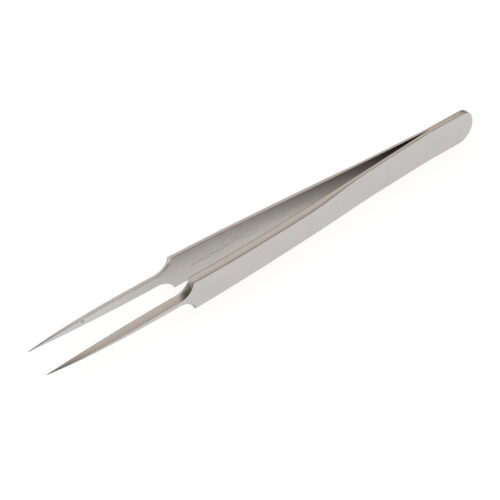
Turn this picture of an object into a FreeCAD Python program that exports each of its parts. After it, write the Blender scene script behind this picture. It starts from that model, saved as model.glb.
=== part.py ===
import FreeCAD, Part
import os
from math import radians, sqrt, tan
from FreeCAD import Vector

# Fine-point tweezers, in millimetres.
# Each arm is ground from one strip of stainless steel. The two tails lie face to face and are
# welded: two spot welds inside, and a seam weld round the edge that is ground flush.
# Distances along the tweezers run from the tail end (0) to the tips. Heights run from the
# mid-height of the arms, and the half gap is the distance of an arm's inner face from the
# middle plane between the arms.

# Overall sizes
overall_length = 110.0
points_length = 33.1          # from the tips back to the shoulder corners
tail_height = 8.7             # across the tail, and again across the shoulders
waist_dip = 0.3               # of each edge, halfway between the weld and the shoulders

# Tail and weld
tail_round_length = 3.6       # length of the rounded tail end
tail_thickness = 0.70         # of one arm, from the tail end to flex_end
weld_length = 12.5            # the arms touch and are welded over this length
seam_groove_width = 0.6       # across the V groove that the seam weld fills, both arms together
seam_groove_depth = 0.35
spot_weld_radius = 1.5        # at the joint between the arms
spot_weld_taper = 0.3         # how much smaller its radius is at its ends
spot_weld_depth = 0.25        # how far each spot weld reaches into each arm
spot_weld_places = (4.6, 9.2)

# Spring and grip
flex_end = 28.5               # the thin, springy stretch of an arm ends here
grip_start = 48.5             # the arm has its full thickness from here on
grip_thickness = 1.46
splay_angle = 3.3             # degrees, between the middle plane and an arm's inner face
point_angle = 0.5             # degrees, the same for the points
bend_length = 22.0            # the splay eases off over this length, up to the shoulders

# Points
shoulder_radius = 4.0
neck_height = 2.76
tip_height = 0.10
taper_length = 22.0           # the thickness tapers over this length, up to the tips
tip_thickness = 0.12

# Ground bevels along the outer edges. The edge flat is the square land left beside the
# inner face, and the rest of the thickness is bevelled.
tail_edge_flat = 0.64
shoulder_edge_flat = 0.51
grip_bevel_slope = 0.76       # height of the bevel for each millimetre of its depth
point_bevel_depth = 0.97
point_bevel_slope = 0.82
point_bevel_run_in = 2.4      # the bevel grows to its full depth over this length

# The joint that lets each arm swing: a round knuckle on the blade in a socket on the tail
pivot_at = 27.0
knuckle_overhang = 0.06       # the knuckle's radius beyond half the arm's thickness
knuckle_clearance = 0.03

# Worked out from the sizes above
tail_half = tail_height / 2
shoulder_at = overall_length - points_length
bend_start = shoulder_at - bend_length
taper_start = overall_length - taper_length
ramp_middle = (flex_end + grip_start) / 2
neck_half = neck_height / 2
shoulder_rise = tail_half - neck_half
neck_start = shoulder_at + sqrt(shoulder_radius ** 2 - (shoulder_radius - shoulder_rise) ** 2)
bevel_start = neck_start - point_bevel_run_in
beyond = 1.0                  # how far cutting tools reach past what they cut


def half_gap(at):
    """Distance of an arm's inner face from the middle plane."""
    splay, ease = tan(radians(splay_angle)), tan(radians(splay_angle - point_angle))
    if at <= weld_length:
        return 0.0
    bent = min(max(at - bend_start, 0.0), bend_length)
    past = max(at - shoulder_at, 0.0)
    return splay * (at - weld_length) - ease * (bent ** 2 / (2 * bend_length) + past)


def thickness(at):
    """Thickness of one arm."""
    if at >= taper_start:
        share = (at - taper_start) / taper_length
        return grip_thickness - (grip_thickness - tip_thickness) * share ** 2
    share = min(max((at - flex_end) / (grip_start - flex_end), 0.0), 1.0)
    rise = 2 * share ** 2 if share < 0.5 else 1 - 2 * (1 - share) ** 2
    return tail_thickness + (grip_thickness - tail_thickness) * rise


def outer_face(at):
    """Distance of an arm's outer face from the middle plane."""
    return half_gap(at) + thickness(at)


def grip_half_height(at):
    """Half the height of an arm, from the tail to the shoulders."""
    share = min(max((at - weld_length) / (shoulder_at - weld_length), 0.0), 1.0)
    return tail_half - waist_dip * 4 * share * (1 - share)


def point_half_height(at):
    """Half the height of an arm from the shoulder corner to the tip."""
    if at < neck_start:
        return neck_half + shoulder_radius - sqrt(shoulder_radius ** 2 - (neck_start - at) ** 2)
    share = (at - neck_start) / (overall_length - neck_start)
    return neck_half - (neck_half - tip_height / 2) * share ** 2


def stretch(place, start, end):
    """A line or an arc from start to end, through the place of the middle of the stretch."""
    first, middle, last = place(start), place((start + end) / 2), place(end)
    if middle.distanceToLine(first, last - first) < 1e-6:
        return Part.makeLine(first, last)
    return Part.Arc(first, middle, last).toShape()


def chain(place, stops):
    """Lines and arcs from stop to stop."""
    return [stretch(place, start, end) for start, end in zip(stops, stops[1:])]


def face_of(edges):
    return Part.Face(Part.Wire(Part.__sortEdges__(edges)))


def plan_solid():
    """One arm seen from above: its inner and outer faces, at the full tail height."""
    stops = sorted({0.0, weld_length, flex_end, ramp_middle, grip_start, bend_start,
                    shoulder_at, taper_start, overall_length})
    bottom = -tail_half - beyond
    edges = chain(lambda at: Vector(at, half_gap(at), bottom), stops)
    edges += chain(lambda at: Vector(at, outer_face(at), bottom), stops)
    for at in (0.0, overall_length):
        edges.append(Part.makeLine(Vector(at, half_gap(at), bottom),
                                   Vector(at, outer_face(at), bottom)))
    return face_of(edges).extrude(Vector(0, 0, tail_height + 2 * beyond))


def tail_end(across, inset=0.0):
    """The rounded tail end: half a circle, pressed in to the length of the rounding."""
    centre, radius = Vector(0, 0, 0), tail_half - inset
    half_circle = Part.Arc(Vector(0, 0, radius), Vector(-radius, 0, 0), Vector(0, 0, -radius))
    press = FreeCAD.Matrix()
    press.scale((tail_round_length - inset) / radius, 1, 1)
    edge = half_circle.toShape().transformGeometry(press)
    edge.translate(Vector(tail_round_length, across, 0) - centre)
    return edge


def side_solid():
    """The outline of an arm seen from the side, through its whole thickness."""
    start = -beyond

    def grip_edge(side):
        return chain(lambda at: Vector(at, start, side * grip_half_height(at)),
                     [tail_round_length, weld_length, shoulder_at])

    def point_edge(side):
        return chain(lambda at: Vector(at, start, side * point_half_height(at)),
                     [shoulder_at, neck_start, overall_length])

    edges = [tail_end(start)]
    for side in (1, -1):
        edges += grip_edge(side) + point_edge(side)
    tip = Vector(overall_length, start, tip_height / 2)
    edges.append(Part.makeLine(tip, tip - Vector(0, 0, tip_height)))
    reach = outer_face(overall_length) + grip_thickness + 2 * beyond
    return face_of(edges).extrude(Vector(0, reach, 0))


def bevel_cutter(places, slope):
    """What grinding takes off one upper outer edge. Each place gives the distance along the
    arm, the half height of the arm and the depth of the bevel there."""
    sections = []
    for at, half_height, depth in places:
        outer = outer_face(at)
        top = half_height + slope * beyond
        low = half_height - slope * (depth + beyond)
        inner_corner = Vector(at, outer - depth - beyond, top)
        outer_corner = Vector(at, outer + beyond, low)
        waste_corner = Vector(at, outer + beyond, top + beyond)
        sections.append(Part.makePolygon([inner_corner, outer_corner, waste_corner,
                                          inner_corner]))
    return Part.makeLoft(sections, True, False)


def spread(start, end, count):
    """Evenly spaced distances from start to end."""
    return [start + (end - start) * step / (count - 1) for step in range(count)]


def grip_bevel():
    """The bevel from the tail to the shoulders, as deep as the edge flat leaves."""
    places = []
    for at in spread(-beyond, shoulder_at + beyond, 21):
        share = min(max(at / shoulder_at, 0.0), 1.0)
        flat = tail_edge_flat + (shoulder_edge_flat - tail_edge_flat) * share
        places.append((at, grip_half_height(at), thickness(at) - flat))
    return bevel_cutter(places, grip_bevel_slope)


def point_bevel():
    """The bevel along a point, growing out of the shoulder and fading towards the tip."""
    places = []
    for at in spread(bevel_start, neck_start, 4) + spread(neck_start, overall_length, 12)[1:]:
        grown = min((at - bevel_start) / point_bevel_run_in, 1.0)
        faded = max((at - taper_start) / taper_length, 0.0) ** 2
        places.append((at, point_half_height(at), point_bevel_depth * (grown - faded)))
    return bevel_cutter(places, point_bevel_slope)


def whole_arm():
    """The left arm, tail to tip, as it is ground from its strip."""
    arm = plan_solid().common(side_solid())
    for cutter in (grip_bevel(), point_bevel()):
        lower = cutter.mirror(Vector(0, 0, 0), Vector(0, 0, 1))
        arm = arm.cut(cutter).cut(lower)
    return arm


def seam_weld():
    """The weld metal in the V groove round the joined tails, ground flush with them."""
    half_width = seam_groove_width / 2

    def outline(across, inset):
        half = tail_half - inset
        start, end = tail_round_length, weld_length
        corners = [Vector(start, across, half), Vector(end, across, half),
                   Vector(end, across, -half), Vector(start, across, -half)]
        edges = [Part.makeLine(a, b) for a, b in zip(corners, corners[1:])]
        return Part.Wire(Part.__sortEdges__([tail_end(across, inset)] + edges))

    slab = Part.Face(outline(-half_width, 0)).extrude(Vector(0, seam_groove_width, 0))
    for side in (1, -1):
        core = Part.makeLoft([outline(0, seam_groove_depth), outline(side * half_width, 0)],
                             True, True)
        slab = slab.cut(core)
    return slab


def spot_welds():
    """Nuggets of fused metal between the tails, widest at the joint."""
    nuggets = []
    for at in spot_weld_places:
        left, right = [Part.makeCone(spot_weld_radius, spot_weld_radius - spot_weld_taper,
                                     spot_weld_depth, Vector(at, 0, 0), Vector(0, side, 0))
                       for side in (1, -1)]
        nuggets.append(left.fuse(right).Solids[0])
    return Part.makeCompound(nuggets)


def split_at_pivot(arm):
    """The tail and the blade of an arm, parted at the knuckle."""
    across = half_gap(pivot_at) + thickness(pivot_at) / 2
    low = -tail_half - beyond
    height = tail_height + 2 * beyond
    radius = thickness(pivot_at) / 2 + knuckle_overhang
    knuckle = Part.makeCylinder(radius, height, Vector(pivot_at, across, low))
    socket = Part.makeCylinder(radius + knuckle_clearance, height,
                               Vector(pivot_at, across, low))
    width = outer_face(taper_start) + 2 * beyond
    behind = Part.makeBox(pivot_at + beyond, width, height, Vector(-beyond, -beyond, low))
    ahead = Part.makeBox(points_length + shoulder_at - pivot_at + beyond, width, height,
                         Vector(pivot_at, -beyond, low))
    tail = arm.common(behind).cut(socket)
    blade = arm.common(ahead.fuse(knuckle)).removeSplitter()
    return tail, blade


def make_parts():
    seam, spots = seam_weld(), spot_welds()
    tail, blade = split_at_pivot(whole_arm())
    tail = tail.cut(seam).cut(spots)
    parts = {"tail_seam_weld": seam, "tail_spot_welds": spots}
    for side, flip in (("left", False), ("right", True)):
        for name, piece in (("tail", tail), ("blade", blade)):
            turned = piece.mirror(Vector(0, 0, 0), Vector(0, 1, 0)) if flip else piece
            parts[f"{side}_arm_{name}"] = turned
    return parts


# The origin is under the middle of the tweezers, on the surface that they lie on.
os.makedirs("parts", exist_ok=True)
for node, shape in make_parts().items():
    shape.translate(Vector(-overall_length / 2, 0, tail_half))
    shape.exportStep(f"parts/{node}.step")
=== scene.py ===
import math

import bmesh
import bpy
from bpy.props import FloatProperty, FloatVectorProperty, PointerProperty
from mathutils import Matrix, Vector


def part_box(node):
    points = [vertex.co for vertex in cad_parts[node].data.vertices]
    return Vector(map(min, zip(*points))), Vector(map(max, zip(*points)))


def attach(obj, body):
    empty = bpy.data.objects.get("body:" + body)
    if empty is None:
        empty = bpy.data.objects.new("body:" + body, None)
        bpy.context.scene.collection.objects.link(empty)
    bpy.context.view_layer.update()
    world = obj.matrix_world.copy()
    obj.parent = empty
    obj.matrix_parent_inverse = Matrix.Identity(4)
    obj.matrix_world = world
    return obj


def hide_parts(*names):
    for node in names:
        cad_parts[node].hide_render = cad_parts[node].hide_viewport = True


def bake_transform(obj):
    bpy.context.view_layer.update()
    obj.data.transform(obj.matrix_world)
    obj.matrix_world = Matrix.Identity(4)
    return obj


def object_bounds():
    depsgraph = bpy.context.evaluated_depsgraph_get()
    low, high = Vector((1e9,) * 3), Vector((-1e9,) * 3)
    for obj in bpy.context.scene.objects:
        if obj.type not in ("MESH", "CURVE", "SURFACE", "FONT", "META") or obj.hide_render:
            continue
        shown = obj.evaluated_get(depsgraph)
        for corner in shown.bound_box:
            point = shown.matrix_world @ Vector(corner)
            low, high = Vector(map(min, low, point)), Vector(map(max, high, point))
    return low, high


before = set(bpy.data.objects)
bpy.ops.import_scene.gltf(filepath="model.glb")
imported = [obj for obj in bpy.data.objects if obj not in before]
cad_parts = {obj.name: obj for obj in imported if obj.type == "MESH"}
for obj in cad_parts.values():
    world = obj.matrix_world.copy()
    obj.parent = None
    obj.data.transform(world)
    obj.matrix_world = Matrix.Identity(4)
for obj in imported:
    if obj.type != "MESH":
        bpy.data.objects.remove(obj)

bl_info = {
    "name": "Fine-point Tweezers",
    "version": (1, 0, 0),
    "blender": (4, 5, 0),
    "location": "3D View > Sidebar > Tweezers",
    "description": "Models ground steel tweezers with needle points round their packed frame",
    "category": "Add Mesh",
}

MM = 0.001

# The frame: tail to tips along +X, the left arm at +Y, the height of the arms along +Z.
FRAME_LOW, FRAME_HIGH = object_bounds()
TAIL_X = FRAME_LOW.x
MID_Z = (FRAME_LOW.z + FRAME_HIGH.z) / 2
WELD_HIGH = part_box("tail_seam_weld")[1]

# Into how many stretches of faces each part of an arm is divided.
ROUND_STEPS, TAIL_STEPS, GRIP_STEPS, HOLLOW_STEPS, POINT_STEPS = 10, 4, 32, 14, 26
FIRST_TURN, ROUND_TURN = 3.0, 8.7      # degrees round the tail end: the first column, a step
WELD_COLUMNS = (10.2 * MM, 8.0 * MM, 5.8 * MM)      # from the tail end, along the straight
HAIR = 0.002 * MM      # where the section changes abruptly, it does so in this length
HOLD = 0.2 * MM        # width of the rows beside a broad face that keep its shading flat
SOFT = 0.06 * MM       # half the width of the softened border between flat and bevel
SMOOTH_BELOW = math.radians(24)      # sharper corners than this stay sharp

# The least share of a face's normal that makes it part of a broad face, or of an edge flat.
BROAD_FACE, EDGE_FLAT = 0.93, 0.97


# ------------------------------------------------------------------ sizes and colours

def length(name, description, millimetres):
    return FloatProperty(name=name, description=description, default=millimetres * MM,
                         min=0.0, unit="LENGTH", precision=5)


def angle(name, description, degrees):
    return FloatProperty(name=name, description=description, default=math.radians(degrees),
                         subtype="ANGLE", unit="ROTATION")


def ratio(name, description, default):
    return FloatProperty(name=name, description=description, default=default, min=0.0)


def colour(name, description, default):
    return FloatVectorProperty(name=name, description=description, default=default,
                               subtype="COLOR", size=3, min=0.0, max=1.0)


class TweezerSizes(bpy.types.PropertyGroup):
    """Sizes of one arm. Distances along it run from the tail end to the tip"""
    points_length: length("Points", "From the tips back to the shoulder corners", 33.1)
    waist_dip: length("Waist dip", "How far each edge dips between weld and shoulders", 0.3)
    tail_round: length("Tail rounding", "Length of the rounded tail end", 3.6)
    tail_thickness: length("Tail thickness", "Thickness of one arm at the tail", 0.70)
    grip_thickness: length("Grip thickness", "Thickness of one arm in the grip", 1.46)
    flex_end: length("Spring end", "Where the thin, springy stretch ends", 28.5)
    grip_start: length("Grip start", "Where the arm has its full thickness", 48.5)
    splay: angle("Splay", "Between the middle plane and an inner face", 3.3)
    point_splay: angle("Point splay", "The same for the points", 0.5)
    bend_length: length("Bend", "The splay eases off over this length", 22.0)
    hollow_run: length("Hollow run", "Length of the shoulder's hollow, at the inner face", 3.9)
    outer_run: length("Outer hollow run", "The same at the outer face", 3.4)
    neck_height: length("Neck height", "Of a point where it leaves the shoulder", 2.76)
    tip_height: length("Tip height", "Height of a tip", 0.10)
    tip_thickness: length("Tip thickness", "Thickness of a tip", 0.12)
    taper_length: length("Taper", "The points get thinner over this length", 22.0)
    fullness: ratio("Fullness", "How long a point stays thick before its tip", 2.5)
    tail_flat: length("Tail edge flat", "Square land beside the inner face, at the tail", 0.64)
    shoulder_flat: length("Shoulder edge flat", "The same at the shoulders", 0.51)
    point_bevel: length("Point bevel", "Depth of the bevel along the points", 0.97)
    grip_slope: ratio("Grip bevel slope", "Height of the grip's bevel over its depth", 0.76)
    point_slope: ratio("Point bevel slope", "Height of a point's bevel over its depth", 0.82)
    bevel_crown: ratio("Bevel crown", "How far a bevel bulges, as a share of its height", 0.06)
    grip_roll: length("Grip rolling", "Where a bevel rolls over into the outer face", 0.24)
    point_roll: length("Point rolling", "The same along the points", 0.10)
    edge_break: length("Edge break", "Rounding along the inner edges", 0.14)
    groove_depth: length("Weld groove", "Depth of the groove that the weld fills", 0.35)


class SteelColours(bpy.types.PropertyGroup):
    """Colours of the finishes"""
    face: colour("Outer faces", "Satin-ground outer faces", (0.560, 0.545, 0.530))
    inner: colour("Inner faces", "Ground faces between the arms", (0.53, 0.51, 0.49))
    # The lighter colour of the points' inner faces is painted light.
    painted_point_light: colour("Honed points", "Inner faces of the points", (0.60, 0.59, 0.585))
    # The tan of the edge flats is a painted reflection of the warm light that these upward
    # faces catch from above.
    edge: colour("Edge flats", "Square lands beside the inner faces", (0.60, 0.54, 0.475))
    bevel: colour("Bevels", "Long bevels of the grip", (0.63, 0.59, 0.565))
    shoulder: colour("Shoulders", "Hollow-ground shoulders", (0.60, 0.56, 0.535))
    point: colour("Point edges", "Cross-ground edges of the points", (0.62, 0.575, 0.545))
    # The weld's tan copies the painted reflection of the edge flats, so that the weld doesn't
    # show among them.
    weld: colour("Weld", "Weld metal, ground flush", (0.59, 0.535, 0.475))
    # The stain colour is also used to paint the shade in the hollows of the shoulders.
    stain_and_shade: colour("Stains", "Dried marks and pits", (0.16, 0.125, 0.10))
    floor: colour("Floor", "Surface under the tweezers", (0.3, 0.3, 0.3))


class StageSettings(bpy.types.PropertyGroup):
    """The camera's place and the light"""
    azimuth: angle("Azimuth", "Camera's turn about the tweezers, from looking along +Y", 146.7)
    elevation: angle("Elevation", "Camera's angle above the floor", 46.2)
    roll: angle("Roll", "Turn of the camera about its own line of sight", -3.96)
    distance: length("Distance", "From the camera to the point it is set up on", 284.0)
    set_back: length("Set back", "That point is this far behind the middle", 0.28)
    aside: length("Aside", "How far the camera then moves to its left", 4.35)
    down: length("Down", "How far the camera then moves down", 3.60)
    lens: FloatProperty(name="Lens", description="Focal length in millimetres",
                        default=100.04, min=1.0)
    floor_glow: ratio("Floor glow", "Brightness that the floor has by itself", 0.84)


# ------------------------------------------------------------------ the shape of an arm

class ArmShape:
    """Places on the left arm. Distances run along the arm from the tail end, across it from
    the inner face, and heights from the middle of the arm's height."""

    def __init__(self, sizes):
        self.sizes = sizes
        self.length = FRAME_HIGH.x - TAIL_X
        self.half = (FRAME_HIGH.z - FRAME_LOW.z) / 2
        self.weld_end = WELD_HIGH.x - TAIL_X
        self.groove_half_width = WELD_HIGH.y
        self.shoulder = self.length - sizes.points_length
        self.taper = self.length - sizes.taper_length
        self.neck_half = sizes.neck_height / 2
        self.neck = self.shoulder + sizes.hollow_run

    def half_gap(self, at):
        """From the middle plane to the inner face."""
        s = self.sizes
        if at <= self.weld_end:
            return 0.0
        bent = min(max(at - self.shoulder + s.bend_length, 0.0), s.bend_length)
        past = max(at - self.shoulder, 0.0)
        ease = math.tan(s.splay - s.point_splay)
        return (math.tan(s.splay) * (at - self.weld_end)
                - ease * (bent ** 2 / (2 * s.bend_length) + past))

    def thickness(self, at):
        s = self.sizes
        if at >= self.taper:
            share = (at - self.taper) / s.taper_length
            return s.grip_thickness - (s.grip_thickness - s.tip_thickness) * share ** s.fullness
        share = min(max((at - s.flex_end) / (s.grip_start - s.flex_end), 0.0), 1.0)
        rise = 2 * share ** 2 if share < 0.5 else 1 - 2 * (1 - share) ** 2
        return s.tail_thickness + (s.grip_thickness - s.tail_thickness) * rise

    def outline(self, at):
        """Half the height of the arm, past the rounded tail end."""
        if at <= self.shoulder:
            span = self.shoulder - self.weld_end
            share = min(max((at - self.weld_end) / span, 0.0), 1.0)
            return self.half - self.sizes.waist_dip * 4 * share * (1 - share)
        share = min(max((at - self.neck) / (self.length - self.neck), 0.0), 1.0)
        return self.neck_half - (self.neck_half - self.sizes.tip_height / 2) * share ** 2

    def bevel(self, at):
        """How much of the thickness is bevelled, and the slope of the bevel."""
        s = self.sizes
        if at <= self.shoulder:
            flat = s.tail_flat + (s.shoulder_flat - s.tail_flat) * at / self.shoulder
            return self.thickness(at) - flat, s.grip_slope
        share = min((at - self.shoulder) / s.hollow_run, 1.0)
        corner_depth = s.grip_thickness - s.shoulder_flat
        faded = max((at - self.taper) / s.taper_length, 0.0) ** 2
        return (corner_depth + (s.point_bevel - corner_depth) * share - s.point_bevel * faded,
                s.grip_slope + (s.point_slope - s.grip_slope) * share)

    def edge_rows(self, at):
        """The upper edge in section, from the inner to the outer face. Each row is its
        distance across, its drop to the ground surface, and how far it is rolled below."""
        s, thick = self.sizes, self.thickness(at)
        depth, slope = self.bevel(at)
        roll = s.grip_roll if at <= self.shoulder else s.point_roll
        roll = min(roll, 0.3 * thick, 0.3 * self.outline(at))
        depth = min(max(depth, 1.3 * roll), 0.8 * thick)
        flat = thick - depth
        soft = min(0.3 * flat, 0.2 * depth, SOFT)
        hold = min(HOLD, 0.2 * self.outline(at))
        deep, wide = s.groove_depth, self.groove_half_width
        if at > self.weld_end:
            deep = wide = min(s.edge_break, 0.3 * flat, 0.3 * self.outline(at))
        rows = [(0.0, 0.0, deep + hold)]
        for share in (0.0, 0.25, 0.5, 0.75, 1.0):
            turn = share * math.pi / 2
            if at > self.weld_end:
                rows.append((wide * (1 - math.cos(turn)), 0.0, deep * (1 - math.sin(turn))))
            else:
                rows.append((wide * share, 0.0, deep * (1 - share)))
        rows += [(flat - soft, 0.0, 0.0),
                 (flat, 0.15 * soft * slope, 0.0),
                 (flat + soft, soft * slope, 0.0),
                 (flat + depth / 2, slope * depth * (0.5 - s.bevel_crown), 0.0)]
        for share in (0.0, 0.25, 0.5, 0.75, 1.0):
            first, last = (1 - share) ** 2, share ** 2
            rows.append((thick - first * roll, slope * (depth - first * roll), last * roll))
        rows.append((thick, slope * depth, roll + hold))
        return rows


def steps(start, end, count, crowding=1.0):
    """Places from start to just before end. Crowding above 1 packs them towards the end."""
    return [start + (end - start) * (1 - (1 - k / count) ** crowding) for k in range(count)]


def arm_columns(shape):
    """The columns of faces that an arm is built of, from tail to tip. A column gives, for
    each row of the upper edge, its place along the arm, across it and its height."""
    s = shape.sizes

    def rounded(turn):
        at = s.tail_round * (1 - math.cos(turn))
        return [(drop + fall + (s.tail_round - drop - fall) * (1 - math.cos(turn)), across,
                 (shape.half - drop - fall) * math.sin(turn))
                for across, drop, fall in shape.edge_rows(at)]

    def plain(at):
        return [(at, across, shape.outline(at) - drop - fall)
                for across, drop, fall in shape.edge_rows(at)]

    def hollowed(share):
        """Each row has its own arc, steeper towards the outer face, that starts where the
        row meets the shoulder corner and ends level."""
        column = []
        ends = shape.edge_rows(shape.shoulder + HAIR), shape.edge_rows(shape.neck)
        thick = ends[0][-1][0]
        for first, last in zip(*ends):
            run = s.hollow_run + (s.outer_run - s.hollow_run) * first[0] / thick
            top, low = shape.half - first[1], shape.neck_half - last[1]
            radius = ((top - low) ** 2 + run ** 2) / (2 * (top - low))
            start = math.asin(1 - (top - low) / radius)
            turn = start + (math.pi / 2 - start) * share
            across, fall = (a + (b - a) * share for a, b in zip(first[::2], last[::2]))
            column.append((shape.shoulder + run - radius * math.cos(turn), across,
                           low + radius * (1 - math.sin(turn)) - fall))
        return column

    columns = [rounded(math.radians(FIRST_TURN + ROUND_TURN * k)) for k in range(ROUND_STEPS)]
    columns += [plain(at) for at in steps(s.tail_round, shape.weld_end - HAIR, TAIL_STEPS)]
    columns += [plain(shape.weld_end - HAIR), plain(shape.weld_end + HAIR)]
    columns += [plain(at) for at in steps(shape.weld_end, shape.shoulder, GRIP_STEPS)[1:]]
    columns.append(plain(shape.shoulder - HAIR))
    columns += [hollowed(k / HOLLOW_STEPS) for k in range(HOLLOW_STEPS + 1)]
    columns += [plain(at) for at in steps(shape.neck, shape.length, POINT_STEPS, 1.3)[1:]]
    columns.append(plain(shape.length))
    return columns


# ------------------------------------------------------------------ modelling helpers

def only(obj):
    """Leaves the object alone selected and active, in object mode."""
    if bpy.context.mode != "OBJECT":
        bpy.ops.object.mode_set(mode="OBJECT")
    bpy.ops.object.select_all(action="DESELECT")
    if obj:
        obj.select_set(True)
        bpy.context.view_layer.objects.active = obj


def pick(mesh, verts):
    """Selects just these vertices of the mesh in edit mode."""
    for vert in mesh.verts:
        if vert.select:
            vert.select_set(False)
    for vert in verts:
        vert.select_set(True)
    mesh.select_flush_mode()


def add_ladder(name, rungs, rotation):
    """A strip of faces along X, one rung longer than its faces, in edit mode."""
    only(None)
    bpy.ops.mesh.primitive_grid_add(x_subdivisions=rungs - 1, y_subdivisions=1,
                                    size=2 * MM, rotation=rotation)
    ladder = bpy.context.object
    ladder.name = ladder.data.name = name
    bpy.ops.object.transform_apply(location=True, rotation=True, scale=True)
    bpy.ops.object.mode_set(mode="EDIT")
    return ladder


def picked_rungs(mesh, side_of):
    """The two ends of each selected rung, in order along X."""
    ends = [[], []]
    for vert in mesh.verts:
        if vert.select:
            ends[side_of(vert) > 0].append(vert)
    for row in ends:
        row.sort(key=lambda vert: vert.co.x)
    return list(zip(*ends))


def finish_mesh(obj, merge=0.0):
    """Merges doubles, turns the normals outward and smooths all but the ground corners."""
    only(obj)
    bpy.ops.object.transform_apply(location=True, rotation=True, scale=True)
    bpy.ops.object.mode_set(mode="EDIT")
    bpy.ops.mesh.select_all(action="SELECT")
    if merge:
        bpy.ops.mesh.remove_doubles(threshold=merge)
    bpy.ops.mesh.normals_make_consistent(inside=False)
    bpy.ops.object.mode_set(mode="OBJECT")
    bpy.ops.object.shade_smooth_by_angle(angle=SMOOTH_BELOW)
    only(None)


def give_finishes(obj, finishes, finish_of):
    """Gives each face the finish that finish_of names for it."""
    only(obj)
    bpy.ops.object.mode_set(mode="EDIT")
    bpy.ops.mesh.select_mode(type="FACE")
    for slot, (name, material) in enumerate(finishes.items()):
        obj.data.materials.append(material)
        mesh = bmesh.from_edit_mesh(obj.data)
        for face in mesh.faces:
            face.select_set(finish_of(face) == name)
        obj.active_material_index = slot
        bpy.ops.object.material_slot_assign()
    bpy.ops.mesh.select_mode(type="VERT")
    only(None)


# ------------------------------------------------------------------ shader groups

# Scratches per metre along X, Y and Z, broad ones and fine ones, of the two ways to grind.
LENGTHWISE = ((45, 2500, 2500), (250, 9000, 9000))
CROSSWISE = ((2200, 160, 160), (8000, 500, 500))


def new_group(name, inputs, outputs):
    """A shader group with its sockets, and its input and output nodes."""
    group = bpy.data.node_groups.new(name, "ShaderNodeTree")
    for label, kind, default in inputs:
        socket = group.interface.new_socket(name=label, in_out="INPUT",
                                            socket_type="NodeSocket" + kind)
        if default is not None:
            socket.default_value = default
    for label in outputs:
        group.interface.new_socket(name=label, in_out="OUTPUT",
                                   socket_type="NodeSocketFloat")
    first, last = group.nodes.new("NodeGroupInput"), group.nodes.new("NodeGroupOutput")
    last.location.x = 1200
    return group, first, last


class Wiring:
    """Adds nodes to a tree. A value that is a socket is linked, and any other is set."""

    def __init__(self, tree):
        self.tree = tree

    def add(self, kind, inputs=None, **settings):
        node = self.tree.nodes.new("ShaderNode" + kind)
        node.location.x = 180 * len(self.tree.nodes)
        for key, value in settings.items():
            setattr(node, key, value)
        for key, value in (inputs or {}).items():
            self.put(value, node.inputs[key])
        return node

    def put(self, value, socket):
        if isinstance(value, bpy.types.NodeSocket):
            self.tree.links.new(value, socket)
        else:
            socket.default_value = value

    def math(self, operation, *values):
        return self.add("Math", dict(enumerate(values)), operation=operation).outputs[0]

    def remap(self, value, low, high, to_low=0.0, to_high=1.0, smooth=False):
        kind = "SMOOTHSTEP" if smooth else "LINEAR"
        node = self.add("MapRange", {0: value, 1: low, 2: high, 3: to_low, 4: to_high},
                        interpolation_type=kind)
        return node.outputs[0]

    def mix(self, factor, first, second, blend="MIX"):
        """Mixes two colours."""
        node = self.add("Mix", data_type="RGBA", blend_type=blend)
        for key, value in ((0, factor), (6, first), (7, second)):
            self.put(value, node.inputs[key])
        return node.outputs[2]

    def noise(self, place, scale, detail=2.0, roughness=0.5):
        inputs = {"Vector": place, "Scale": scale, "Detail": detail,
                  "Roughness": roughness}
        return self.add("TexNoise", inputs).outputs["Fac"]

    def stretched(self, place, scale):
        return self.add("Mapping", {"Vector": place, "Scale": scale}).outputs[0]


def grinding_marks_group():
    """Long scratches of two sizes, left by a grinding belt."""
    group, first, last = new_group(
        "Grinding marks",
        [("Place", "Vector", None), ("Broad", "Vector", LENGTHWISE[0]),
         ("Fine", "Vector", LENGTHWISE[1])],
        ["Broad Marks", "Fine Marks", "All Marks"])
    w = Wiring(group)
    marks = []
    for label, detail in (("Broad", 2.0), ("Fine", 3.0)):
        place = w.stretched(first.outputs["Place"], first.outputs[label])
        marks.append(w.remap(w.noise(place, 1.0, detail, 0.6), 0.3, 0.7))
        w.put(marks[-1], last.inputs[label + " Marks"])
    w.put(w.math("MULTIPLY_ADD", w.math("ADD", *marks), 0.5, 0.0), last.inputs["All Marks"])
    return group


def handling_group():
    """Cloudy patches and tiny specks that use leaves on ground steel."""
    group, first, last = new_group(
        "Handling marks",
        [("Place", "Vector", None), ("Patch Size", "Float", 0.0028),
         ("Speck Spacing", "Float", 0.0012)],
        ["Patches", "Specks"])
    w = Wiring(group)
    size = w.math("DIVIDE", 1.0, first.outputs["Patch Size"])
    patches = w.noise(first.outputs["Place"], size, 3.0, 0.55)
    w.put(w.remap(patches, 0.3, 0.7, smooth=True), last.inputs["Patches"])
    cells = w.add("TexVoronoi", {
        "Vector": first.outputs["Place"],
        "Scale": w.math("DIVIDE", 1.0, first.outputs["Speck Spacing"])})
    near = w.remap(cells.outputs["Distance"], 0.06, 0.14, 1.0, 0.0, smooth=True)
    shade = w.add("SeparateColor", {0: cells.outputs["Color"]}).outputs[0]
    chosen = w.math("GREATER_THAN", shade, 0.55)
    w.put(w.math("MULTIPLY", near, chosen), last.inputs["Specks"])
    return group


def box_mask(w, place, low, high, feather):
    """A mask that is 1 between two corners and fades out past them."""
    axes = w.add("SeparateXYZ", {0: place}).outputs
    parts = []
    for axis, start, end in zip(axes, low, high):
        parts.append(w.remap(axis, start - feather, start + feather, smooth=True))
        parts.append(w.remap(axis, end - feather, end + feather, 1.0, 0.0, smooth=True))
    mask = parts[0]
    for part in parts[1:]:
        mask = w.math("MULTIPLY", mask, part)
    return mask


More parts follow.
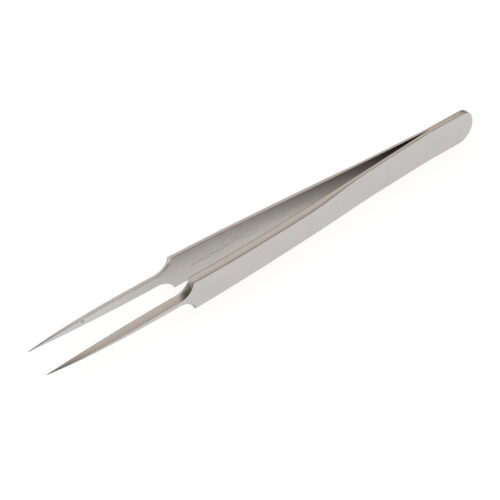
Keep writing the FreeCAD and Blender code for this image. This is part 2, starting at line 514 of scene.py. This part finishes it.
def tide_mark_group():
    """The thin wavy rim of a run of liquid that dried along a face."""
    group, first, last = new_group(
        "Tide mark",
        [("Place", "Vector", None), ("Start", "Float", 0.0), ("Height", "Float", 0.0),
         ("Fall", "Float", 0.045), ("Half Width", "Float", 0.0006),
         ("Wander", "Float", 0.0022)],
        ["Rim"])
    w, given = Wiring(group), first.outputs
    axes = w.add("SeparateXYZ", {0: given["Place"]}).outputs
    waves = w.noise(w.stretched(given["Place"], (230, 1, 60)), 1.0, 4.0, 0.55)
    widths = w.noise(w.stretched(given["Place"], (420, 1, 60)), 1.0, 3.0, 0.6)
    along = w.math("SUBTRACT", axes[0], given["Start"])
    fall = w.math("MULTIPLY", along, given["Fall"])
    wander = w.math("MULTIPLY", w.math("SUBTRACT", waves, 0.5), given["Wander"])
    off = w.math("SUBTRACT", w.math("ADD", axes[2], fall), given["Height"])
    off = w.math("ABSOLUTE", w.math("SUBTRACT", off, wander))
    half = w.math("MULTIPLY", w.remap(widths, 0.35, 0.65), given["Half Width"])
    off = w.math("ABSOLUTE", w.math("SUBTRACT", off, half))
    w.put(w.remap(off, 0.03 * MM, 0.11 * MM, 1.0, 0.0, smooth=True), last.inputs["Rim"])
    return group


def shader_groups():
    """The shared shader groups, built once."""
    makers = {"Grinding marks": grinding_marks_group, "Handling marks": handling_group,
              "Tide mark": tide_mark_group}
    return {name: bpy.data.node_groups.get(name) or make() for name, make in makers.items()}


# ------------------------------------------------------------------ finishes

def tinted(base, red, green, blue):
    return (base[0] * red, base[1] * green, base[2] * blue, 1.0)


def ground_steel(name, base, roughness, grain=LENGTHWISE, contrast=0.06, bite=1.5e-6,
                 extra=None):
    """Ground stainless steel: scratches that vary the colour and roughness and that stand
    up as tiny ridges, cloudy patches and specks. Extra adds stains, painted light and
    painted shade to the colour."""
    material = bpy.data.materials.new(name)
    material.use_nodes = True
    material.node_tree.nodes.clear()
    w = Wiring(material.node_tree)
    groups, stain_and_shade = shader_groups(), bpy.context.scene.steel_colours.stain_and_shade
    place = w.add("TexCoord").outputs["Object"]
    grinding = w.add("Group", node_tree=groups["Grinding marks"])
    for key, value in (("Place", place), ("Broad", grain[0]), ("Fine", grain[1])):
        w.put(value, grinding.inputs[key])
    handling = w.add("Group", node_tree=groups["Handling marks"])
    w.put(place, handling.inputs["Place"])
    low, high = 1 - contrast, 1 + contrast
    steel = w.mix(grinding.outputs["All Marks"], tinted(base, low, low, low),
                  tinted(base, high, high, high))
    patchy = w.mix(handling.outputs["Patches"], (1.03, 0.99, 0.995, 1),
                   (0.965, 0.99, 0.985, 1))
    steel = w.mix(1.0, steel, patchy, "MULTIPLY")
    specked = w.math("MULTIPLY", handling.outputs["Specks"], 0.10)
    steel = w.mix(specked, steel, (*stain_and_shade, 1))
    if extra:
        steel = extra(w, place, steel, (*stain_and_shade, 1))
    rough = w.remap(grinding.outputs["All Marks"], 0.0, 1.0, roughness - 0.04,
                    roughness + 0.06)
    ridges = w.add("Bump", {"Height": grinding.outputs["All Marks"], "Distance": bite,
                            "Strength": 1.0})
    shader = w.add("BsdfPrincipled", {
        "Base Color": steel, "Metallic": 1.0, "Roughness": rough,
        "Normal": ridges.outputs[0]})
    out = w.add("OutputMaterial")
    w.put(shader.outputs[0], out.inputs["Surface"])
    return material


def fade_to_tips(w, place, start, end):
    """A mask that grows from start to end, which are distances back from the tips."""
    along = w.add("SeparateXYZ", {0: place}).outputs[0]
    return w.remap(along, FRAME_HIGH.x - start, FRAME_HIGH.x - end, smooth=True)


# Corners of the boxes that hold the marks on the right arm's inner face, in millimetres from
# the tail end, the middle plane and the floor.
TIDE_MARK_BOX = ((56.5, -10.0, 2.0), (72.5, -0.5, 7.0))
TIDE_MARK_HEIGHT = 4.6 * MM
PIT_BOX = ((97.6, -10.0, 4.45), (98.2, -0.5, 4.85))


def from_tail(corner):
    return Vector(corner) * MM + Vector((TAIL_X, 0, 0))


def inner_stains_and_painted_light(w, place, steel, stain_and_shade):
    """The inner faces are painted lighter towards the tips: painted light where the gap between
    the points opens. The inner face of the right arm also has dried marks, and a pit near its
    tip."""
    painted_point_light = (*bpy.context.scene.steel_colours.painted_point_light, 1)
    point = fade_to_tips(w, place, 27 * MM, 14 * MM)
    # Painted light: the inner faces get lighter towards the tips.
    steel = w.mix(w.math("MULTIPLY", point, 0.8), steel, painted_point_light)
    low, high = map(from_tail, TIDE_MARK_BOX)
    tide = w.add("Group", node_tree=shader_groups()["Tide mark"])
    for key, value in (("Place", place), ("Start", low.x), ("Height", TIDE_MARK_HEIGHT)):
        w.put(value, tide.inputs[key])
    rim = w.math("MULTIPLY", tide.outputs["Rim"], box_mask(w, place, low, high, 0.8 * MM))
    steel = w.mix(w.math("MULTIPLY", rim, 0.62), steel, stain_and_shade)
    pit = box_mask(w, place, *map(from_tail, PIT_BOX), 0.12 * MM)
    return w.mix(w.math("MULTIPLY", pit, 0.85), steel, stain_and_shade)


def tip_tarnish(w, place, steel, stain_and_shade):
    """The points get darker and browner over their last few millimetres."""
    near_tip = fade_to_tips(w, place, 12 * MM, 0.0)
    return w.mix(w.math("MULTIPLY", near_tip, 0.68), steel, stain_and_shade)


def painted_hollow_shade(w, place, steel, stain_and_shade):
    """Paints shade on the outer side of a hollow, fading out before the neck: painted shade."""
    sizes = bpy.context.scene.tweezer_sizes
    neck = FRAME_HIGH.x - sizes.points_length + sizes.hollow_run
    along, side, _ = w.add("SeparateXYZ", {0: place}).outputs
    across = w.math("ABSOLUTE", side)
    outer = w.remap(across, FRAME_HIGH.y - 1.1 * MM, FRAME_HIGH.y - 0.2 * MM, smooth=True)
    before_neck = w.remap(along, neck - 1.5 * MM, neck, 1.0, 0.0, smooth=True)
    shade = w.math("MULTIPLY", outer, before_neck)
    return w.mix(w.math("MULTIPLY", shade, 0.62), steel, stain_and_shade)


def arm_finishes():
    """The finishes of an arm, by the ground surface that has them."""
    tones = bpy.context.scene.steel_colours
    return {
        "outer": ground_steel("satin_outer_face", tones.face, 0.34, contrast=0.09,
                              extra=tip_tarnish),
        "inner": ground_steel("ground_inner_face", tones.inner, 0.36, contrast=0.13,
                              extra=inner_stains_and_painted_light),
        "flat": ground_steel("ground_edge_flat", tones.edge, 0.30, contrast=0.08),
        "bevel": ground_steel("ground_bevel", tones.bevel, 0.32, contrast=0.08),
        # The shoulders carry painted shade on the outer side of their hollows.
        "shoulder": ground_steel("hollow_ground_shoulder", tones.shoulder, 0.34,
                                 CROSSWISE, 0.10, extra=painted_hollow_shade),
        "point": ground_steel("cross_ground_point", tones.point, 0.34, CROSSWISE, 0.10,
                              extra=tip_tarnish),
    }


# ------------------------------------------------------------------ the arms

def model_left_arm(shape):
    """The inner face is a ladder of faces. It is extruded row by row across the thickness,
    and each rung is stretched and moved to the place of its row."""
    columns = arm_columns(shape)
    arm = add_ladder("left_arm", len(columns), (math.pi / 2, 0, 0))
    for row in range(len(columns[0])):
        if row:
            bpy.ops.mesh.extrude_region_move()
        mesh = bmesh.from_edit_mesh(arm.data)
        rungs = picked_rungs(mesh, lambda vert: vert.co.z)
        layer = [vert for rung in rungs for vert in rung]
        for (lower, upper), column in zip(rungs, columns):
            along, across, height = column[row]
            pick(mesh, (lower, upper))
            bpy.ops.transform.resize(value=(1, 1, height / upper.co.z),
                                     center_override=(0, 0, 0))
            y = min(shape.half_gap(along) + across, FRAME_HIGH.y)
            target = Vector((TAIL_X + along, y, height))
            bpy.ops.transform.translate(value=target - upper.co)
        pick(mesh, layer)
    bpy.ops.object.mode_set(mode="OBJECT")
    arm.location.z = MID_Z
    finish_mesh(arm)
    return arm


def arm_finish_of(shape):
    """Names the finish of a face of the left arm from its place and normal."""
    def finish_of(face):
        at = face.calc_center_median().x - TAIL_X
        if abs(face.normal.y) > BROAD_FACE:
            return "outer" if face.normal.y > 0 else "inner"
        if at > shape.neck:
            return "point"
        if at > shape.shoulder:
            return "shoulder"
        upright = math.hypot(face.normal.x, face.normal.z)
        return "flat" if upright > EDGE_FLAT else "bevel"
    return finish_of


def mirrored_copy(obj, name):
    """A copy with its own mesh, mirrored across the middle plane."""
    only(obj)
    bpy.ops.object.duplicate()
    copy = bpy.context.object
    copy.name = copy.data.name = name
    bpy.ops.object.mode_set(mode="EDIT")
    bpy.ops.mesh.select_all(action="SELECT")
    bpy.ops.transform.resize(value=(1, -1, 1), center_override=(0, 0, 0))
    bpy.ops.object.mode_set(mode="OBJECT")
    finish_mesh(copy)
    return copy


class TWEEZERS_OT_arms(bpy.types.Operator):
    """Model both arms, each one strip of steel ground from tail to tip"""
    bl_idname = "tweezers.arms"
    bl_label = "Arms"

    def execute(self, context):
        shape = ArmShape(context.scene.tweezer_sizes)
        left = model_left_arm(shape)
        give_finishes(left, arm_finishes(), arm_finish_of(shape))
        right = mirrored_copy(left, "right_arm")
        for arm, side in ((left, "left"), (right, "right")):
            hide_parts(f"{side}_arm_tail", f"{side}_arm_blade")
            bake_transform(arm)
        return {"FINISHED"}


# ------------------------------------------------------------------ the weld

def model_seam_weld(shape):
    """A flush strip round the tail, one rung per step, with a root that reaches into the
    groove between the arms."""
    s, half = shape.sizes, shape.half
    straight = (shape.weld_end, *WELD_COLUMNS)
    route = [(at, half, 0.0, 1.0) for at in straight]
    for k in range(2 * ROUND_STEPS + 1):
        turn = math.pi / 2 - k * math.pi / (2 * ROUND_STEPS)
        route.append((s.tail_round * (1 - math.cos(turn)), half * math.sin(turn),
                      math.cos(turn), math.sin(turn)))
    route += [(at, -half, 0.0, -1.0) for at in reversed(straight)]
    weld = add_ladder("flush_seam_weld", len(route), (0, 0, 0))
    mesh = bmesh.from_edit_mesh(weld.data)
    rungs = picked_rungs(mesh, lambda vert: vert.co.y)
    for (low, high), (at, height, _, _) in zip(rungs, route):
        pick(mesh, (low, high))
        bpy.ops.transform.resize(value=(1, shape.groove_half_width / high.co.y, 1),
                                 center_override=(0, 0, 0))
        bpy.ops.transform.translate(value=(TAIL_X + at - high.co.x, 0,
                                           height - high.co.z))
    pick(mesh, mesh.verts)
    bpy.ops.mesh.extrude_region_move()
    bpy.ops.transform.resize(value=(1, 0, 1), center_override=(0, 0, 0))
    mesh = bmesh.from_edit_mesh(weld.data)
    root = [vert for vert in mesh.verts if vert.select]
    for at, height, inward, up in route:
        here = Vector((TAIL_X + at, 0, height))
        pick(mesh, [vert for vert in root if (vert.co - here).length < 1e-6])
        bpy.ops.transform.translate(value=(inward * s.groove_depth, 0,
                                           -up * s.groove_depth))
    bpy.ops.object.mode_set(mode="OBJECT")
    weld.location.z = MID_Z
    finish_mesh(weld, merge=1e-6)
    return weld


class TWEEZERS_OT_weld(bpy.types.Operator):
    """Model the seam weld round the tail and finish the spot welds inside it"""
    bl_idname = "tweezers.weld"
    bl_label = "Tail Weld"

    def execute(self, context):
        weld = model_seam_weld(ArmShape(context.scene.tweezer_sizes))
        tone = context.scene.steel_colours.weld
        weld.data.materials.append(ground_steel("flush_ground_weld", tone, 0.30,
                                                contrast=0.08))
        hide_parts("tail_seam_weld")
        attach(weld, "root")
        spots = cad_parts["tail_spot_welds"]
        nugget = ground_steel("spot_weld_nugget", tone, 0.55, CROSSWISE, 0.15)
        for slot in spots.material_slots:
            slot.material = nugget
        return {"FINISHED"}


# ------------------------------------------------------------------ the stage

def floor_material(settings, tone):
    """A pale surface that glows enough to hide its own shading."""
    material = bpy.data.materials.new("pale_floor")
    material.use_nodes = True
    material.node_tree.nodes.clear()
    w = Wiring(material.node_tree)
    shader = w.add("BsdfPrincipled", {
        "Base Color": (*tone, 1), "Roughness": 0.9, "Specular IOR Level": 0.0,
        "Emission Color": (1, 1, 1, 1), "Emission Strength": settings.floor_glow})
    out = w.add("OutputMaterial")
    w.put(shader.outputs[0], out.inputs["Surface"])
    return material


LAMP_PLACE, LAMP_SIZE, LAMP_ENERGY = (0.1, 0.2, 0.9), 1.2, 0.5
FLOOR_SIZE, FLOOR_CLEARANCE = 3.0, 0.02 * MM

# The room's brightness at the sines of some angles above the floor.
ROOM_RAMP = ((0.0, 0.08), (0.36, 0.15), (0.62, 0.74), (0.72, 0.80), (1.0, 0.88))

# Parts of the room that are darker or lighter: the direction, the angles from it within
# which a part is whole and past which it is gone, and its brightness.
ROOM_PATCHES = (
    ((0.42, 0.62, 0.66), 8, 32, 0.06),
    ((0.72, -0.58, 0.38), 8, 34, 0.45),
)


def add_studio_light():
    """A soft room: dim at the height of the floor and pale overhead. The camera itself
    sees it as plain white."""
    world = bpy.data.worlds.new("soft_room")
    bpy.context.scene.world = world
    world.use_nodes = True
    world.node_tree.nodes.clear()
    w = Wiring(world.node_tree)
    heading = w.add("TexCoord").outputs["Generated"]
    up = w.add("SeparateXYZ", {0: heading}).outputs[2]
    ramp = w.add("ValToRGB", {0: up})
    while len(ramp.color_ramp.elements) < len(ROOM_RAMP):
        ramp.color_ramp.elements.new(1.0)
    for element, (place, level) in zip(ramp.color_ramp.elements, ROOM_RAMP):
        element.position = place
        element.color = (1.04 * level, level, 0.94 * level, 1)
    room = ramp.outputs[0]
    for direction, inside, outside, level in ROOM_PATCHES:
        aligned = w.add("VectorMath", {0: heading, 1: Vector(direction).normalized()},
                        operation="DOT_PRODUCT").outputs["Value"]
        mask = w.remap(aligned, math.cos(math.radians(outside)),
                       math.cos(math.radians(inside)), smooth=True)
        room = w.mix(mask, room, (1.05 * level, level, 0.93 * level, 1))
    seen = w.add("Background", {"Color": (1, 1, 1, 1), "Strength": 1.0})
    felt = w.add("Background", {"Color": room, "Strength": 1.0})
    direct = w.add("LightPath").outputs["Is Camera Ray"]
    both = w.add("MixShader", {0: direct, 1: felt.outputs[0], 2: seen.outputs[0]})
    w.put(both.outputs[0], w.add("OutputWorld").inputs["Surface"])


def add_camera(settings):
    """The camera, from its azimuth, elevation, roll and distance."""
    flat, high = math.cos(settings.elevation), math.sin(settings.elevation)
    back = Vector((math.sin(settings.azimuth) * flat, -math.cos(settings.azimuth) * flat,
                   high))
    right = Vector((0, 0, 1)).cross(back).normalized()
    right.rotate(Matrix.Rotation(settings.roll, 3, back))
    up = back.cross(right)
    middle = Vector(((FRAME_LOW.x + FRAME_HIGH.x) / 2 - settings.set_back, 0, MID_Z))
    place = middle + back * settings.distance - right * settings.aside - up * settings.down
    turn = Matrix((right, up, back)).transposed().to_euler()
    bpy.ops.object.camera_add(location=place, rotation=turn)
    camera = bpy.context.object
    camera.name = "camera"
    camera.data.lens = settings.lens
    camera.data.clip_start, camera.data.clip_end = 0.01, 10.0
    bpy.context.scene.camera = camera


class TWEEZERS_OT_stage(bpy.types.Operator):
    """Set up the pale floor, the soft light and the camera"""
    bl_idname = "tweezers.stage"
    bl_label = "Stage"

    def execute(self, context):
        settings = context.scene.stage_settings
        only(None)
        bpy.ops.mesh.primitive_plane_add(size=FLOOR_SIZE,
                                         location=(0, 0, FRAME_LOW.z - FLOOR_CLEARANCE))
        floor = bpy.context.object
        floor.name = "floor"
        floor.data.materials.append(floor_material(settings,
                                                   context.scene.steel_colours.floor))
        bpy.ops.object.light_add(type="AREA", location=LAMP_PLACE)
        lamp = bpy.context.object
        lamp.name = "overhead_softbox"
        lamp.data.size, lamp.data.energy = LAMP_SIZE, LAMP_ENERGY
        lamp.visible_glossy = False
        add_studio_light()
        add_camera(settings)
        context.scene.view_settings.view_transform = "Standard"
        return {"FINISHED"}


# ------------------------------------------------------------------ panel and running

OPERATORS = (TWEEZERS_OT_arms, TWEEZERS_OT_weld, TWEEZERS_OT_stage)


class TWEEZERS_PT_panel(bpy.types.Panel):
    """The pieces of the tweezers, with their sizes and colours"""
    bl_idname = "TWEEZERS_PT_panel"
    bl_label = "Tweezers"
    bl_space_type = "VIEW_3D"
    bl_region_type = "UI"
    bl_category = "Tweezers"

    def draw(self, context):
        for operator in OPERATORS:
            self.layout.operator(operator.bl_idname)
        for name in SETTINGS:
            group = getattr(context.scene, name)
            box = self.layout.box()
            for key in group.__annotations__:
                box.prop(group, key)


SETTINGS = {"tweezer_sizes": TweezerSizes, "steel_colours": SteelColours,
            "stage_settings": StageSettings}
CLASSES = (*SETTINGS.values(), *OPERATORS, TWEEZERS_PT_panel)


def register():
    for cls in CLASSES:
        bpy.utils.register_class(cls)
    for name, group in SETTINGS.items():
        setattr(bpy.types.Scene, name, PointerProperty(type=group))


def unregister():
    for name in SETTINGS:
        delattr(bpy.types.Scene, name)
    for cls in reversed(CLASSES):
        bpy.utils.unregister_class(cls)


def main():
    register()
    bpy.ops.tweezers.arms()
    bpy.ops.tweezers.weld()
    bpy.ops.tweezers.stage()


if __name__ == "__main__":
    main()
